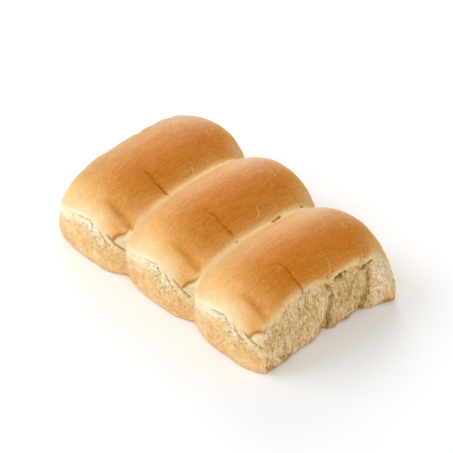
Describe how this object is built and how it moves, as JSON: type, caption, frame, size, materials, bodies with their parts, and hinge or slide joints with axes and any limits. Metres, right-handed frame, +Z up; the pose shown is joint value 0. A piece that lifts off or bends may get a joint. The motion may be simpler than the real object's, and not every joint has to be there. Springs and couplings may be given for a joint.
{
  "type": "row of pull-apart bread rolls",
  "caption": "Soft pull-apart bread rolls baked side by side, domed browned tops, pale pan-side ends, torn crumb at both sides of the row.",
  "frame": {"origin": "under the middle of the loaf's box, on the surface that it rests on", "axes": "+X along the row of rolls, +Y along each roll, +Z up"},
  "size_m": [0.1978, 0.124, 0.0553],
  "materials": {
    "baked_crust": null
  },
  "bodies": {
    "root": {"lard_bread": "baked_crust"}
  },
  "joints": []
}
